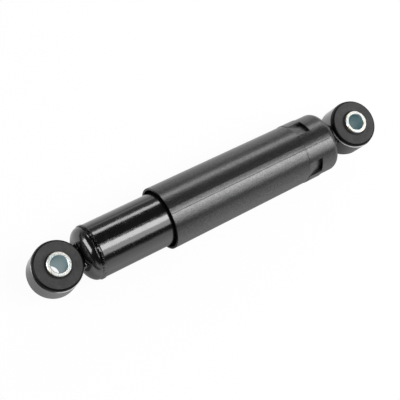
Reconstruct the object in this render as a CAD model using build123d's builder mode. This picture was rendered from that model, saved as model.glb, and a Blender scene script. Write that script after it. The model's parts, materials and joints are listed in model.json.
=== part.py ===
from build123d import *

import os
from math import cos, radians, sin, tan

# Twin-tube shock absorber for a light trailer axle, in millimetres.
# The origin is the centre of the lower eye's bore. +X runs along the damper to
# the upper eye and +Z along the lower eye's bore.

# Travel from the length that is modelled
compression_travel = 57.0
extension_travel = 9.0
stop_gap = 0.6  # left between the parts that would meet at each end

# Eyes: ring, moulded rubber bush and steel sleeve
bolt_bore_diameter = 12.2
sleeve_wall = 2.5
sleeve_length = 32.4
sleeve_chamfer = 0.4
ring_diameter = 36.8
ring_wall = 3.6
ring_width = 20.0
ring_edge_chamfer = 0.6
flange_inset = 0.4  # how far the flange stands inside the ring's outside
flange_thickness = 3.0
flange_edge_radius = 2.2
upper_eye_turn = 3.1  # degrees about the damper's axis

# Reservoir
tube_diameter = 40.0
tube_wall = 1.5
tube_end_chamfer = 0.4
rolled_edge_radius = 3.0
lip_length = 3.5  # how far the rolled end reaches inwards
cap_saddle_depth = 0.6
flange_gap = 0.25  # between the cap and the edge of the bush's flange
cap_wall = 3.0
cap_depth = 8.8
cap_crown_diameter = 8.0  # flat middle of the dome
cap_step = 0.2  # how far the cap stands inside the tube's outside
cap_spigot_length = 3.5
seam_width = 2.9
seam_lap = 1.8  # how far the bead laps on to the dome
seam_depth = 0.7  # how far the bead's edge lies below the tube's surface
seam_crown = 0.1

# Working cylinder
cylinder_wall = 1.5
reserve_gap = 3.5  # between the cylinder and the reservoir tube

# Base valve
foot_height = 4.5
foot_count = 3
foot_length = 3.2
foot_width = 4.0
foot_gap = 0.3  # between the feet and the compression disc
base_flange_thickness = 4.5
base_flange_lip = 0.4  # how far the flange stands out past the cylinder
base_spigot_length = 5.0
base_pin_diameter = 5.2
pin_head_diameter = 8.4
pin_head_thickness = 1.2
retainer_thickness = 1.0
retainer_inset = 0.3  # inside the check spring's foot
rivet_head_height = 0.8
base_disc_thickness = 0.6
base_disc_lift = 0.6

# Ports shared by the base valve and the piston. Each share is of the width
# between the rod's end and the cylinder's bore.
port_boss_share = 0.45
outer_port_share = 0.65
check_plate_share = 0.82
port_count = 6
outer_port_diameter = 2.4
inner_port_diameter = 1.8
inner_plate_inset = 0.1
check_plate_thickness = 0.7
check_lift = 0.9
check_spring_flat = 0.3  # room for a check spring pressed flat
check_spring_thickness = 0.25
check_spring_inset = 0.5  # from the plate's edge to the spring's foot

# Piston
piston_length = 11.0
piston_side_gap = 0.3
piston_edge_chamfer = 0.6
piston_ring_width = 4.0
piston_ring_thickness = 1.25
groove_side_gap = 0.1
stop_washer_thickness = 1.4
stop_washer_inset = 1.1  # inside the check spring's foot
rebound_stop_length = 4.0
rebound_stop_diameter = 22.0
rebound_disc_thickness = 0.7
rebound_spring_length = 4.3
rebound_spring_wire = 1.1
rebound_spring_turns = 2.5
nut_across_flats = 13.0
nut_height = 5.0
nut_flange_thickness = 1.6
nut_flange_diameter = 16.0
nut_collar_diameter = 9.8

# Rod
rod_diameter = 12.0
rod_end_diameter = 8.0
rod_end_chamfer = 0.8

# Rod guide and seal
guide_spigot_length = 3.0
guide_flange_length = 6.0
guide_bush_wall = 1.0
guide_bush_end_gap = 1.0
drain_count = 3
drain_share = 0.45  # of the reserve gap
seal_disc_thickness = 3.0
seal_hub_height = 2.0
seal_hub_diameter = 18.4
seal_lip_relief = 1.1
garter_wire = 0.9
washer_gap = 0.4

# Dust cover and the plate that carries it
cover_length = 147.3
cover_open_gap = 2.1  # between the tube and the cover's open end
cover_wall = 1.5
cover_draft = 0.33  # degrees
cover_tube_gap = 6.2  # tube to plate with the damper fully shortened
plate_thickness = 1.5
plate_end_gap = 0.1
plate_rim_gap = 1.2
band_length = 12.0
band_height = 0.3
cap_length = 16.7
cap_outer_step = 0.5
cap_edge_radius = 5.0
cap_end_thickness = 2.2
cap_ring_gap = 0.3  # round the opening that lets the upper ring through
cap_opening_corner = 2.0
cover_turn = 9.5  # degrees about the axis, from +Z towards -Y
window_count = 4
window_arc = 31.5
ramp_gap = 0.1  # between the ramps' tips and the plate
ramp_sink = 2.5
seat_rib_count = 8
seat_rib_thickness = 1.6
seat_rib_height = 1.6
neck_length = 6.8

# Eye welds
eye_weld_length = 19.0
eye_weld_spread = 28.0  # degrees round the ring to the bead's toe
eye_weld_rise = 0.9  # from the toe on the ring to the toe on the cap
eye_weld_bulge = 0.3
rod_weld_leg = 3.4
plate_weld_leg = 2.0

# Running fits
sleeve_fit = 0.05
cylinder_fit = 0.05
rod_fit = 0.03
hub_fit = 0.15
check_fit = 0.3

# Radii
sleeve_radius = bolt_bore_diameter / 2 + sleeve_wall
ring_radius = ring_diameter / 2
ring_bore_radius = ring_radius - ring_wall
flange_radius = ring_radius - flange_inset
tube_radius = tube_diameter / 2
tube_bore_radius = tube_radius - tube_wall
cap_radius = tube_radius - cap_step
cap_bore_radius = cap_radius - cap_wall
cylinder_radius = tube_bore_radius - reserve_gap
cylinder_bore_radius = cylinder_radius - cylinder_wall
drain_circle_radius = (cylinder_radius + tube_bore_radius) / 2
drain_radius = reserve_gap * drain_share / 2
port_boss_height = check_plate_thickness + check_lift + check_spring_flat
rod_radius = rod_diameter / 2
rod_end_radius = rod_end_diameter / 2
port_width = cylinder_bore_radius - rod_end_radius
port_boss_radius = rod_end_radius + port_width * port_boss_share
outer_port_circle_radius = rod_end_radius + port_width * outer_port_share
check_plate_radius = rod_end_radius + port_width * check_plate_share
check_spring_radius = check_plate_radius - check_spring_inset
inner_port_circle_radius = (rod_end_radius + port_boss_radius) / 2
inner_plate_radius = port_boss_radius - inner_plate_inset
foot_circle_radius = inner_plate_radius + foot_gap + foot_length / 2
retainer_radius = check_spring_radius - retainer_inset
stop_washer_radius = check_spring_radius - stop_washer_inset
cover_open_radius = tube_radius + cover_open_gap + cover_wall
piston_radius = cylinder_bore_radius - piston_side_gap
groove_radius = cylinder_bore_radius - cylinder_fit - piston_ring_thickness - sleeve_fit
nut_collar_radius = nut_collar_diameter / 2
seal_hub_radius = seal_hub_diameter / 2

# Places along the damper, from the lower eye towards the upper
cap_face = ring_radius - cap_saddle_depth
cap_floor = cap_face + cap_wall
cap_rim = cap_face + cap_depth
tube_start = cap_rim + seam_width
base_flange_start = cap_floor + foot_height
base_flange_end = base_flange_start + base_flange_thickness
base_seat = base_flange_end + base_spigot_length
base_boss_top = base_seat + port_boss_height
base_retainer_top = base_boss_top + retainer_thickness
base_valve_top = base_retainer_top + rivet_head_height
nut_start = base_valve_top + stop_gap + compression_travel
nut_flange_end = nut_start + nut_height + nut_flange_thickness
rebound_disc_start = nut_flange_end + rebound_spring_length
piston_start = rebound_disc_start + rebound_disc_thickness
piston_end = piston_start + piston_length
piston_boss_top = piston_end + port_boss_height
rod_shoulder = piston_boss_top + stop_washer_thickness
rebound_stop_end = rod_shoulder + rebound_stop_length
guide_start = rebound_stop_end + stop_gap + extension_travel
guide_shoulder = guide_start + guide_spigot_length
guide_end = guide_shoulder + guide_flange_length
washer_start = guide_end + seal_disc_thickness
washer_end = washer_start + seal_hub_height
tube_end = washer_end + tube_wall
plate_start = tube_end + compression_travel + cover_tube_gap
plate_end = plate_start + plate_thickness
cover_seat = plate_end + plate_end_gap
cover_end = cover_seat + cap_length
cover_start = cover_end - cover_length
band_start = cover_seat - band_length
ramp_end = plate_start - ramp_gap
rest_length = cover_end + neck_length + ring_radius

# Dust cover radii that follow its draft
cover_slope = tan(radians(cover_draft))


def cover_outside(place):
    """Outer radius of the cover at a place along the damper."""
    return cover_open_radius - (place - cover_start) * cover_slope


def cover_bore(place):
    """Bore radius of the cover at a place along the damper."""
    return cover_outside(place) - cover_wall


cap_inner_end = cover_end - cap_end_thickness
cap_outside_radius = cover_outside(cover_seat) - cap_outer_step / 2
cap_bore = cap_outside_radius - cover_wall
plate_radius = cover_bore(plate_start) - plate_rim_gap

# Planes
along = Plane.XZ  # damper's axis to the right, +Z up
lower_eye = Plane.XY
upper_eye = Plane(
    origin=(rest_length, 0, 0),
    x_dir=(1, 0, 0),
    z_dir=(0, -sin(radians(upper_eye_turn)), cos(radians(upper_eye_turn))),
)


def across(place, turn=0):
    """Plane square to the damper at a place along it, its height turned towards -Y."""
    side = (0, cos(radians(turn)), sin(radians(turn)))
    return Plane(origin=(place, 0, 0), x_dir=side, z_dir=(1, 0, 0))


def half_plane(angle):
    """Plane through the damper's axis, turned from +Z towards -Y."""
    turn = radians(angle)
    return Plane(origin=(0, 0, 0), x_dir=(1, 0, 0), z_dir=(0, -cos(turn), -sin(turn)))


def eye_section(eye):
    """Plane through an eye's axis: radius to the right, height up."""
    return Plane(origin=eye.origin, x_dir=eye.x_dir, z_dir=-eye.y_dir)


def eye_axis(eye):
    """Axis of an eye's bore."""
    return Axis(eye.origin, eye.z_dir)


def on_axis(align_length=Align.MIN):
    """Alignment that centres a piece on its axis and starts it at its plane."""
    return (Align.CENTER, Align.CENTER, align_length)


def make_eye_ring(eye):
    """Short forged ring that holds the bush."""
    with BuildPart(eye) as ring:
        Cylinder(ring_radius, ring_width)
        chamfer(ring.edges().filter_by(GeomType.CIRCLE), ring_edge_chamfer)
        Hole(ring_bore_radius)
    return ring


def make_bush_rubber(eye):
    """Rubber bush with a flange over each face of the ring."""
    ring_half = ring_width / 2
    face = ring_half + flange_thickness
    bore = sleeve_radius + sleeve_fit
    with BuildPart() as rubber:
        with BuildSketch(eye_section(eye)) as section:
            with BuildLine():
                Polyline(
                    (bore, -face),
                    (flange_radius, -face),
                    (flange_radius, -ring_half),
                    (ring_bore_radius, -ring_half),
                    (ring_bore_radius, ring_half),
                    (flange_radius, ring_half),
                    (flange_radius, face),
                    (bore, face),
                    close=True,
                )
            make_face()
            rim = section.vertices().group_by(Axis.X)[-1]
            fillet(rim.group_by(Axis.Y)[0] + rim.group_by(Axis.Y)[-1], flange_edge_radius)
        revolve(axis=eye_axis(eye))
    return rubber


def make_sleeve(eye):
    """Steel sleeve that the mounting bolt clamps."""
    with BuildPart(eye) as sleeve:
        Cylinder(sleeve_radius, sleeve_length)
        Hole(bolt_bore_diameter / 2)
        chamfer(sleeve.edges().filter_by(GeomType.CIRCLE), sleeve_chamfer)
    return sleeve


def make_check_plate(seat):
    """Flat ring that lifts off the outer ports."""
    with BuildPart(across(seat)) as plate:
        Cylinder(check_plate_radius, check_plate_thickness, align=on_axis())
        Hole(port_boss_radius + check_fit)
    return plate


def make_check_spring(seat, boss_top):
    """Coned spring washer between a check plate and what holds it down."""
    foot = check_spring_radius
    head = port_boss_radius + check_fit
    start = seat + check_plate_thickness
    with BuildPart() as spring:
        with BuildSketch(along):
            with BuildLine():
                Polyline(
                    (start, foot),
                    (start, foot - check_spring_thickness),
                    (boss_top - check_spring_thickness, head),
                    (boss_top, head),
                    (boss_top, head + check_spring_thickness),
                    (start + check_spring_thickness, foot),
                    close=True,
                )
            make_face()
        revolve(axis=Axis.X)
    return spring


# Lower eye
lower_eye_ring = make_eye_ring(lower_eye)
lower_bush_rubber = make_bush_rubber(lower_eye)
lower_sleeve = make_sleeve(lower_eye)

# Pressed and domed cap that closes the bottom of the reservoir
with BuildPart() as base_cap:
    spigot_end = tube_start + cap_spigot_length
    crown_radius = cap_crown_diameter / 2
    with BuildSketch(along):
        with BuildLine():
            Line((cap_rim, cap_radius), (cap_rim, tube_bore_radius))
            Line((cap_rim, tube_bore_radius), (spigot_end, tube_bore_radius))
            Line((spigot_end, tube_bore_radius), (spigot_end, cap_bore_radius))
            Line((spigot_end, cap_bore_radius), (cap_rim, cap_bore_radius))
            EllipticalCenterArc(
                (cap_rim, crown_radius),
                cap_depth - cap_wall,
                cap_bore_radius - crown_radius,
                90,
                arc_size=90,
            )
            Polyline((cap_floor, crown_radius), (cap_floor, 0), (cap_face, 0), (cap_face, crown_radius))
            EllipticalCenterArc(
                (cap_rim, crown_radius), cap_depth, cap_radius - crown_radius, 90, arc_size=90
            )
        make_face()
    revolve(axis=Axis.X)
    Cylinder(ring_radius, ring_width, mode=Mode.SUBTRACT)
    with Locations(Plane.XY.offset(ring_width / 2), Plane.XY.offset(-ring_width / 2).reverse()):
        Cylinder(flange_radius + flange_gap, tube_radius, align=on_axis(), mode=Mode.SUBTRACT)

# Beads on both sides of the ring, in the wedge between it and the cap
with BuildPart() as lower_eye_weld:
    spread = radians(eye_weld_spread)
    toe = (ring_radius * cos(spread), ring_radius * sin(spread))
    root = (cap_floor, 0)
    top = (cap_floor, toe[1] + eye_weld_rise)
    crown = ((toe[0] + top[0]) / 2, (toe[1] + top[1]) / 2 + eye_weld_bulge)
    with BuildSketch(Plane.XY.offset(-eye_weld_length / 2)):
        with BuildLine():
            Line(root, top)
            ThreePointArc(top, crown, toe)
            Line(toe, root)
        make_face()
        mirror(about=Plane.XZ)
    extrude(amount=eye_weld_length)
    Cylinder(ring_radius, tube_diameter, mode=Mode.SUBTRACT)
    add(base_cap.part, mode=Mode.SUBTRACT)

# Bead round the seam, from the tube's end on to the dome
with BuildPart() as base_cap_weld:
    bead_edge = tube_radius - seam_depth
    bead_start = cap_rim - seam_lap
    bead_middle = ((bead_start + tube_start) / 2, tube_radius - seam_crown)
    with BuildSketch(along):
        with BuildLine():
            Polyline(
                (tube_start, bead_edge),
                (tube_start, tube_bore_radius),
                (bead_start, tube_bore_radius),
                (bead_start, bead_edge),
            )
            ThreePointArc((bead_start, bead_edge), bead_middle, (tube_start, bead_edge))
        make_face()
    revolve(axis=Axis.X)
    add(base_cap.part, mode=Mode.SUBTRACT)

# Outer tube, rolled in over the washer at its top
with BuildPart() as reservoir_tube:
    lip_radius = tube_bore_radius - lip_length
    with BuildSketch(along) as tube_section:
        with BuildLine():
            Polyline(
                (tube_start, tube_bore_radius),
                (tube_start, tube_radius),
                (tube_end, tube_radius),
                (tube_end, lip_radius),
                (washer_end, lip_radius),
                (washer_end, tube_bore_radius),
                close=True,
            )
        make_face()
        corner = tube_section.vertices().sort_by_distance((tube_end, tube_radius))[0]
        fillet(corner, rolled_edge_radius)
        corner = tube_section.vertices().sort_by_distance((tube_start, tube_radius))[0]
        chamfer(corner, tube_end_chamfer)
    revolve(axis=Axis.X)

with BuildPart(across(base_flange_end)) as working_cylinder:
    Cylinder(cylinder_radius, guide_shoulder - base_flange_end, align=on_axis())
    Hole(cylinder_bore_radius)

# Base valve: a footed body, a rivet through it and a plate on each side
with BuildPart() as base_valve_body:
    with BuildSketch(across(cap_floor)):
        with PolarLocations(foot_circle_radius, foot_count, start_angle=180 / port_count):
            Rectangle(foot_length, foot_width)
    extrude(amount=foot_height)
    add(base_cap.part, mode=Mode.SUBTRACT)
    with BuildSketch(across(base_flange_start)):
        Circle(cylinder_radius + base_flange_lip)
    extrude(amount=base_flange_thickness)
    with BuildSketch(across(base_flange_end)):
        Circle(cylinder_bore_radius)
    extrude(amount=base_spigot_length)
    with BuildSketch(across(base_seat)):
        Circle(port_boss_radius)
    extrude(amount=port_boss_height)
    with BuildSketch(across(base_flange_start)):
        Circle(base_pin_diameter / 2)
        with PolarLocations(outer_port_circle_radius, port_count):
            Circle(outer_port_diameter / 2)
        with PolarLocations(inner_port_circle_radius, port_count):
            Circle(inner_port_diameter / 2)
    extrude(amount=base_boss_top - base_flange_start, mode=Mode.SUBTRACT)

with BuildPart(across(base_flange_start)) as base_valve_pin:
    pin_head = across(base_flange_start - base_disc_thickness - base_disc_lift)
    Cylinder(base_pin_diameter / 2, base_valve_top - base_flange_start, align=on_axis())
    with BuildSketch(pin_head):
        Circle(pin_head_diameter / 2)
    extrude(amount=-pin_head_thickness)
    with BuildSketch(pin_head):
        Circle(base_pin_diameter / 2)
    extrude(amount=base_disc_thickness + base_disc_lift)
    with BuildSketch(across(base_boss_top)):
        Circle(retainer_radius)
        with PolarLocations(inner_port_circle_radius, port_count):
            Circle(inner_port_diameter / 2, mode=Mode.SUBTRACT)
    extrude(amount=retainer_thickness)

with BuildPart(across(base_flange_start)) as base_compression_disc:
    Cylinder(inner_plate_radius, base_disc_thickness, align=on_axis(Align.MAX))
    Hole(base_pin_diameter / 2 + hub_fit)

base_check_plate = make_check_plate(base_seat)
base_check_spring = make_check_spring(base_seat, base_boss_top)

# Rod guide with its bush, and the seal above it
with BuildPart(across(guide_start)) as rod_guide:
    Cylinder(cylinder_bore_radius, guide_end - guide_start, align=on_axis())
    with BuildSketch(across(guide_shoulder)):
        Circle(tube_bore_radius)
    extrude(amount=guide_flange_length)
    Hole(rod_radius + rod_fit + guide_bush_wall)
    with PolarLocations(drain_circle_radius, drain_count):
        Hole(drain_radius)

with BuildPart(across(guide_start + guide_bush_end_gap)) as guide_bush:
    guide_bush_length = guide_end - guide_start - guide_bush_end_gap
    Cylinder(rod_radius + rod_fit + guide_bush_wall, guide_bush_length, align=on_axis())
    Hole(rod_radius + rod_fit)

with BuildPart() as oil_seal:
    lip = rod_radius + rod_fit
    relief = lip + seal_lip_relief
    hub_middle = (guide_end + washer_end) / 2
    spring_place = (washer_start + washer_end) / 2
    with BuildSketch(along):
        with BuildLine():
            Polyline(
                (guide_end, lip + seal_lip_relief / 2),
                (guide_end, tube_bore_radius),
                (washer_start, tube_bore_radius),
                (washer_start, seal_hub_radius),
                (washer_end, seal_hub_radius),
                (washer_end, relief),
                (spring_place, lip),
                (hub_middle, relief),
                close=True,
            )
        make_face()
        with Locations((spring_place, seal_hub_radius)):
            Circle(garter_wire / 2, mode=Mode.SUBTRACT)
    revolve(axis=Axis.X)

with BuildPart() as seal_garter_spring:
    with BuildSketch(along):
        with Locations((spring_place, seal_hub_radius)):
            Circle(garter_wire / 2)
    revolve(axis=Axis.X)

with BuildPart(across(washer_start)) as closing_washer:
    Cylinder(tube_bore_radius, seal_hub_height, align=on_axis())
    Hole(seal_hub_radius + garter_wire / 2 + washer_gap)

# Piston assembly, from the nut upwards
with BuildPart(across(nut_start)) as piston_nut:
    with BuildSketch(across(nut_start)):
        RegularPolygon(nut_across_flats / 2, 6, major_radius=False)
    extrude(amount=nut_height)
    with BuildSketch(across(nut_start + nut_height)):
        Circle(nut_flange_diameter / 2)
    extrude(amount=nut_flange_thickness)
    with BuildSketch(across(nut_flange_end)):
        Circle(nut_collar_radius)
    extrude(amount=piston_start - nut_flange_end)
    Hole(rod_end_radius)

with BuildPart(across(rebound_disc_start)) as rebound_valve_disc:
    Cylinder(inner_plate_radius, rebound_disc_thickness, align=on_axis())
    Hole(nut_collar_radius + hub_fit)

with BuildPart() as rebound_spring:
    coil_radius = nut_collar_radius + check_fit + rebound_spring_wire / 2
    coil_height = rebound_spring_length - rebound_spring_wire
    coil_start = (nut_flange_end + rebound_spring_wire / 2, 0, 0)
    coil_pitch = coil_height / rebound_spring_turns
    with BuildLine():
        coil = Helix(coil_pitch, coil_height, coil_radius, coil_start, (1, 0, 0))
    with BuildSketch(Plane(origin=coil @ 0, z_dir=coil % 0)):
        Circle(rebound_spring_wire / 2)
    sweep(path=coil, is_frenet=True)

with BuildPart(across(piston_start)) as piston_body:
    Cylinder(piston_radius, piston_length, align=on_axis())
    chamfer(piston_body.edges().filter_by(GeomType.CIRCLE), piston_edge_chamfer)
    Cylinder(port_boss_radius, piston_boss_top - piston_start, align=on_axis())
    groove_width = piston_ring_width + 2 * groove_side_gap
    with BuildSketch(across(piston_start + (piston_length - groove_width) / 2)):
        Circle(piston_radius)
        Circle(groove_radius, mode=Mode.SUBTRACT)
    extrude(amount=groove_width, mode=Mode.SUBTRACT)
    Hole(rod_end_radius)
    with PolarLocations(outer_port_circle_radius, port_count):
        Hole(outer_port_diameter / 2)
    with PolarLocations(inner_port_circle_radius, port_count):
        Hole(inner_port_diameter / 2)

with BuildPart(across(piston_start + (piston_length - piston_ring_width) / 2)) as piston_ring:
    Cylinder(cylinder_bore_radius - cylinder_fit, piston_ring_width, align=on_axis())
    Hole(groove_radius + sleeve_fit)

piston_check_plate = make_check_plate(piston_end)
piston_check_spring = make_check_spring(piston_end, piston_boss_top)

with BuildPart(across(piston_boss_top)) as valve_stop_washer:
    Cylinder(stop_washer_radius, stop_washer_thickness, align=on_axis())
    Hole(rod_end_radius)
    with PolarLocations(inner_port_circle_radius, port_count):
        Hole(inner_port_diameter / 2)

with BuildPart(across(rod_shoulder)) as rebound_stop_ring:
    Cylinder(rebound_stop_diameter / 2, rebound_stop_length, align=on_axis())
    Hole(rod_radius)

# Rod, with a reduced end for the piston and a saddle where it meets the eye
with BuildPart(across(rod_shoulder)) as piston_rod:
    Cylinder(rod_radius, rest_length - rod_shoulder, align=on_axis())
    with BuildSketch(across(nut_start)):
        Circle(rod_end_radius)
    extrude(amount=rod_shoulder - nut_start)
    end_edge = piston_rod.edges().filter_by(GeomType.CIRCLE).sort_by(Axis.X)[0]
    chamfer(end_edge, rod_end_chamfer)
    with BuildSketch(upper_eye.offset(-tube_diameter / 2)):
        Circle(ring_radius)
    extrude(amount=tube_diameter, mode=Mode.SUBTRACT)

with BuildPart(across(plate_start)) as cover_plate:
    Cylinder(plate_radius, plate_thickness, align=on_axis())
    Hole(rod_radius)

with BuildPart() as cover_plate_weld:
    with BuildSketch(along):
        with BuildLine():
            Polyline(
                (plate_end, rod_radius),
                (plate_end, rod_radius + plate_weld_leg),
                (plate_end + plate_weld_leg, rod_radius),
                close=True,
            )
        make_face()
    revolve(axis=Axis.X)

# Upper eye
upper_eye_ring = make_eye_ring(upper_eye)
upper_bush_rubber = make_bush_rubber(upper_eye)
upper_sleeve = make_sleeve(upper_eye)

with BuildPart() as upper_eye_weld:
    weld_start = rest_length - ring_radius - rod_weld_leg
    weld_radius = rod_radius + rod_weld_leg
    with BuildSketch(along):
        with BuildLine():
            Polyline(
                (weld_start, rod_radius),
                (weld_start + rod_weld_leg, weld_radius),
                (weld_start + 2 * rod_weld_leg, weld_radius),
                (weld_start + 2 * rod_weld_leg, rod_radius),
                close=True,
            )
        make_face()
    revolve(axis=Axis.X)
    with BuildSketch(upper_eye.offset(-tube_diameter / 2)):
        Circle(ring_radius)
    extrude(amount=tube_diameter, mode=Mode.SUBTRACT)

# Moulded dust cover: a tapered tube, a thicker band with snap windows, and a cap
with BuildPart() as dust_cover:
    with BuildSketch(along) as cover_section:
        with BuildLine():
            Polyline(
                (cover_start, cover_bore(cover_start)),
                (cover_start, cover_outside(cover_start)),
                (band_start, cover_outside(band_start)),
                (band_start, cover_outside(band_start) + band_height),
                (cover_seat, cover_outside(cover_seat) + band_height),
                (cover_seat, cap_outside_radius),
                (cover_end, cap_outside_radius),
                (cover_end, 0),
                (cap_inner_end, 0),
                (cap_inner_end, cap_bore),
                (cover_seat, cap_bore),
                close=True,
            )
        make_face()
        corner = cover_section.vertices().sort_by_distance((cover_end, cap_outside_radius))[0]
        fillet(corner, cap_edge_radius)
        corner = cover_section.vertices().sort_by_distance((cap_inner_end, cap_bore))[0]
        fillet(corner, cap_edge_radius - cover_wall)
    revolve(axis=Axis.X)
    with BuildSketch(across(cover_seat, cover_turn)):
        with PolarLocations(cap_bore, seat_rib_count, start_angle=180 / seat_rib_count):
            Rectangle(seat_rib_height, seat_rib_thickness, align=(Align.MAX, Align.CENTER))
    extrude(amount=cap_inner_end - cover_seat)
    with BuildSketch(across(cap_inner_end, cover_turn)):
        RectangleRounded(
            ring_diameter + 2 * cap_ring_gap, ring_width + 2 * cap_ring_gap, cap_opening_corner
        )
    extrude(amount=cap_end_thickness, mode=Mode.SUBTRACT)
    for window in range(window_count):
        window_start = cover_turn + (window + 0.5) * 360 / window_count - window_arc / 2
        with BuildSketch(half_plane(window_start)):
            with BuildLine():
                Polyline(
                    (band_start, cover_bore(band_start) - ramp_sink),
                    (band_start, 2 * cover_open_radius),
                    (cover_seat, 2 * cover_open_radius),
                    (cover_seat, cover_bore(band_start) - ramp_sink),
                    close=True,
                )
            make_face()
        revolve(axis=Axis.X, revolution_arc=window_arc, mode=Mode.SUBTRACT)
        with BuildSketch(half_plane(window_start)):
            with BuildLine():
                Polyline(
                    (band_start, cover_bore(band_start)),
                    (band_start, cover_outside(band_start)),
                    (ramp_end, cover_outside(ramp_end) - ramp_sink),
                    (ramp_end, cover_bore(ramp_end) - ramp_sink),
                    close=True,
                )
            make_face()
        revolve(axis=Axis.X, revolution_arc=window_arc)

pieces = {
    "lower_eye_ring": lower_eye_ring,
    "lower_bush_rubber": lower_bush_rubber,
    "lower_sleeve": lower_sleeve,
    "lower_eye_weld": lower_eye_weld,
    "base_cap": base_cap,
    "base_cap_weld": base_cap_weld,
    "reservoir_tube": reservoir_tube,
    "working_cylinder": working_cylinder,
    "base_valve_body": base_valve_body,
    "base_valve_pin": base_valve_pin,
    "base_compression_disc": base_compression_disc,
    "base_check_plate": base_check_plate,
    "base_check_spring": base_check_spring,
    "rod_guide": rod_guide,
    "guide_bush": guide_bush,
    "oil_seal": oil_seal,
    "seal_garter_spring": seal_garter_spring,
    "closing_washer": closing_washer,
    "piston_nut": piston_nut,
    "rebound_valve_disc": rebound_valve_disc,
    "rebound_spring": rebound_spring,
    "piston_body": piston_body,
    "piston_ring": piston_ring,
    "piston_check_plate": piston_check_plate,
    "piston_check_spring": piston_check_spring,
    "valve_stop_washer": valve_stop_washer,
    "rebound_stop_ring": rebound_stop_ring,
    "piston_rod": piston_rod,
    "cover_plate": cover_plate,
    "cover_plate_weld": cover_plate_weld,
    "upper_eye_ring": upper_eye_ring,
    "upper_bush_rubber": upper_bush_rubber,
    "upper_sleeve": upper_sleeve,
    "upper_eye_weld": upper_eye_weld,
    "dust_cover": dust_cover,
}
os.makedirs("parts", exist_ok=True)
for name, piece in pieces.items():
    piece.part.label = name
    export_step(piece.part, f"parts/{name}.step")
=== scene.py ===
import json
import math

import bmesh
import bpy
from mathutils import Matrix, Vector, noise

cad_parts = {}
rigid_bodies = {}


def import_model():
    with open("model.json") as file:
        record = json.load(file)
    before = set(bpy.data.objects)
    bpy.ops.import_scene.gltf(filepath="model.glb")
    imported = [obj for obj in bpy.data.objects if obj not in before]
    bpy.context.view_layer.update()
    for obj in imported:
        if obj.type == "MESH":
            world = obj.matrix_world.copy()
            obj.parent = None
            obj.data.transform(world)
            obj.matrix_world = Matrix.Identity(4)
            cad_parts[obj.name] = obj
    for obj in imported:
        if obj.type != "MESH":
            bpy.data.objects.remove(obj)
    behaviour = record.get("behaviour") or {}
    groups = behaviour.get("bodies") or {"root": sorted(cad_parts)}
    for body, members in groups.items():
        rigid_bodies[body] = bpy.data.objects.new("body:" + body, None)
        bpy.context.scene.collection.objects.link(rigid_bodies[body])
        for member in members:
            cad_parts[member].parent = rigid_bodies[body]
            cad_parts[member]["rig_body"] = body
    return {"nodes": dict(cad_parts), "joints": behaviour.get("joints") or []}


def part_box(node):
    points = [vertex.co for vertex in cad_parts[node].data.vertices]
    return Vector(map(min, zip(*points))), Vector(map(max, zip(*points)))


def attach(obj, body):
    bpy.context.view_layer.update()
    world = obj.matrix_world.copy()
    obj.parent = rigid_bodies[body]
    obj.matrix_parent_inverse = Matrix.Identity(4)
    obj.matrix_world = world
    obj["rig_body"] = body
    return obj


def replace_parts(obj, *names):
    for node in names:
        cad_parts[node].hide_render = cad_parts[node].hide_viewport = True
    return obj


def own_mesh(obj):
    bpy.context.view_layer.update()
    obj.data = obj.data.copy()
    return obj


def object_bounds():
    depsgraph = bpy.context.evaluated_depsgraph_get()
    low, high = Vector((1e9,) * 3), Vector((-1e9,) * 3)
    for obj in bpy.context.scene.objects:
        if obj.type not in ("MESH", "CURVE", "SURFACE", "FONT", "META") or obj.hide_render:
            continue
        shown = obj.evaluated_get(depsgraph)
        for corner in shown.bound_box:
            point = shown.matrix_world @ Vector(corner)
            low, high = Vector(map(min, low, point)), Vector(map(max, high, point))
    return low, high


bl_info = {
    "name": "Trailer damper",
    "version": (1, 0, 0),
    "blender": (4, 5, 0),
    "location": "3D View > Sidebar > Damper",
    "description": "Paint, rubber, plastic and weld beads for a telescopic trailer damper",
    "category": "Object",
}

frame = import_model()
cad_box = [list(corner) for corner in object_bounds()]
nodes = frame["nodes"]

MM = 0.001
PAINTED = ("base_cap", "reservoir_tube")
DULL = ("cover_plate", "cover_plate_weld")
BARE_STEEL = (
    "working_cylinder",
    "base_valve_pin",
    "base_compression_disc",
    "base_check_plate",
    "base_check_spring",
    "seal_garter_spring",
    "closing_washer",
    "piston_nut",
    "rebound_valve_disc",
    "rebound_spring",
    "piston_check_plate",
    "piston_check_spring",
    "valve_stop_washer",
    "rebound_stop_ring",
)
SINTERED = ("base_valve_body", "rod_guide", "piston_body")

# Places and sizes read from the frame
TUBE_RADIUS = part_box("reservoir_tube")[1].z
COVER_LOW, COVER_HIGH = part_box("dust_cover")
PLATE_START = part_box("cover_plate")[0].x
SEAM_LOW, SEAM_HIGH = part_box("base_cap_weld")
RING_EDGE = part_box("lower_eye_ring")[1].z
SLEEVE_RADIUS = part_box("lower_sleeve")[1].x
UPPER_EYE_X = sum(corner.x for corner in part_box("upper_sleeve")) / 2
UPPER_LEAN = math.tan(math.radians(3.1))
FLOOR_Z = cad_box[0][2]

# Grey of the bare steel on worn edges, and of places that hardly any light reaches
BARE_GREY = 0.85
UNLIT_GREY = 0.002

# How strongly the dull finishes reflect
PRIMER_INDEX = 1.25
RUBBER_INDEX = 1.2

BORE_EDGE = 6.35 * MM  # distance from an eye's axis at which a sleeve's face begins
SHADE_RING = 1.1 * MM  # width of the dark rubber round a sleeve: painted shade
ROD_PAINT_START = PLATE_START - 6.0 * MM

# Rubbed mark on the rings: how far below the edge it reaches, and how far from the eye's
# axis, towards the rubbed side, it begins
WORN_DEPTH = 0.85 * MM
WORN_FROM = 12.5 * MM

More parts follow.
